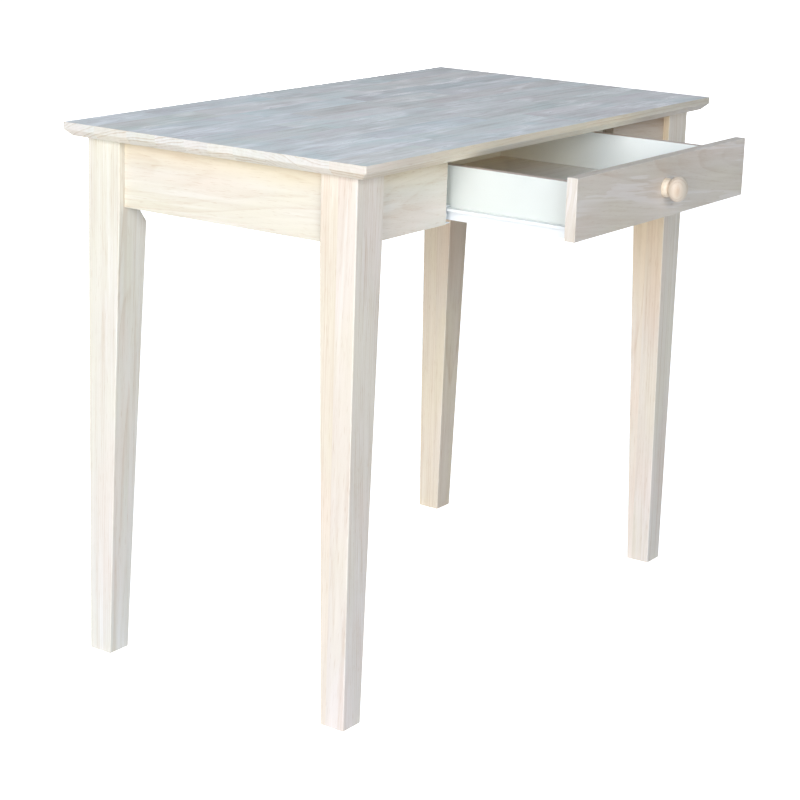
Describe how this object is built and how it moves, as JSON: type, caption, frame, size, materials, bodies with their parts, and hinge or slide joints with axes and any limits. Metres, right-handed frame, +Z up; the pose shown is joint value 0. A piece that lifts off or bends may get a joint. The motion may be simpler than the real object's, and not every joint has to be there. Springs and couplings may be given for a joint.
{
  "type": "writing table",
  "caption": "Writing table with square tapered legs, a flat top with a bevelled underside and a front drawer with a turned knob, on roller slides.",
  "frame": {"origin": "on the floor, under the middle of the whole table's box as it stands with its drawer part open", "axes": "+X along the width, to the right when facing the drawer; the drawer opens towards -Y; +Z up"},
  "size_m": [0.914, 0.7098, 0.762],
  "materials": {
    "bare_wood": "bare sanded pale hardwood, no lacquer",
    "block_wood": "bare sawn hardwood, not sanded",
    "drawer_bottom_wood": "thin board with a grey-brown wood grain face",
    "white_board": "board faced white, raw along its upper edge",
    "white_painted_steel": "white epoxy paint on bent sheet steel",
    "white_nylon": "moulded white nylon",
    "zinc_steel": "zinc-plated steel"
  },
  "bodies": {
    "frame": {"tabletop": "bare_wood", "apron_left": "bare_wood", "apron_right": "bare_wood", "apron_back": "bare_wood", "front_panel_left": "bare_wood", "front_panel_right": "bare_wood", "leg_front_left": "bare_wood", "leg_front_right": "bare_wood", "leg_back_left": "bare_wood", "leg_back_right": "bare_wood", "corner_block_front_left": "block_wood", "corner_block_front_right": "block_wood", "corner_block_back_left": "block_wood", "corner_block_back_right": "block_wood", "slide_rail_left": "block_wood", "slide_rail_right": "block_wood", "cabinet_slide_left": "white_painted_steel", "cabinet_roller_pin_left": "zinc_steel", "cabinet_slide_screw_left_front": "zinc_steel", "cabinet_slide_screw_left_back": "zinc_steel", "cabinet_slide_right": "white_painted_steel", "cabinet_roller_pin_right": "zinc_steel", "cabinet_slide_screw_right_front": "zinc_steel", "cabinet_slide_screw_right_back": "zinc_steel", "hanger_bolt_front_left": "zinc_steel", "hanger_nut_front_left": "zinc_steel", "top_screw_front_left": "zinc_steel", "hanger_bolt_front_right": "zinc_steel", "hanger_nut_front_right": "zinc_steel", "top_screw_front_right": "zinc_steel", "hanger_bolt_back_left": "zinc_steel", "hanger_nut_back_left": "zinc_steel", "top_screw_back_left": "zinc_steel", "hanger_bolt_back_right": "zinc_steel", "hanger_nut_back_right": "zinc_steel", "top_screw_back_right": "zinc_steel"},
    "drawer": {"drawer_front": "bare_wood", "drawer_box_front": "white_board", "drawer_side_left": "white_board", "drawer_side_right": "white_board", "drawer_back": "white_board", "drawer_bottom": "drawer_bottom_wood", "drawer_knob": "bare_wood", "knob_screw": "zinc_steel", "drawer_slide_left": "white_painted_steel", "drawer_roller_pin_left": "zinc_steel", "front_screw_left": "zinc_steel", "drawer_slide_screw_left_front": "zinc_steel", "drawer_slide_screw_left_back": "zinc_steel", "drawer_slide_right": "white_painted_steel", "drawer_roller_pin_right": "zinc_steel", "front_screw_right": "zinc_steel", "drawer_slide_screw_right_front": "zinc_steel", "drawer_slide_screw_right_back": "zinc_steel"},
    "cabinet_roller_left": {"cabinet_roller_left": "white_nylon"},
    "drawer_roller_left": {"drawer_roller_left": "white_nylon"},
    "cabinet_roller_right": {"cabinet_roller_right": "white_nylon"},
    "drawer_roller_right": {"drawer_roller_right": "white_nylon"}
  },
  "joints": [
    {"name": "drawer_slide", "type": "slide", "parent": "frame", "child": "drawer", "axis": [0, -1, 0], "range_m": [-0.19, 0.07]},
    {"name": "cabinet_roller_spin_left", "type": "hinge", "parent": "frame", "child": "cabinet_roller_left", "pos_m": [-0.2107, -0.1011, 0.662], "axis": [1, 0, 0], "continuous": true},
    {"name": "drawer_roller_spin_left", "type": "hinge", "parent": "drawer", "child": "drawer_roller_left", "pos_m": [-0.2107, 0.0329, 0.661], "axis": [1, 0, 0], "continuous": true},
    {"name": "cabinet_roller_spin_right", "type": "hinge", "parent": "frame", "child": "cabinet_roller_right", "pos_m": [0.2107, -0.1011, 0.662], "axis": [1, 0, 0], "continuous": true},
    {"name": "drawer_roller_spin_right", "type": "hinge", "parent": "drawer", "child": "drawer_roller_right", "pos_m": [0.2107, 0.0329, 0.661], "axis": [1, 0, 0], "continuous": true}
  ],
  "couplings": [
    {"joint": "cabinet_roller_spin_left", "follows": "drawer_slide", "rad_per_m": 117.65},
    {"joint": "drawer_roller_spin_left", "follows": "drawer_slide", "rad_per_m": 117.65},
    {"joint": "cabinet_roller_spin_right", "follows": "drawer_slide", "rad_per_m": 117.65},
    {"joint": "drawer_roller_spin_right", "follows": "drawer_slide", "rad_per_m": 117.65}
  ]
}
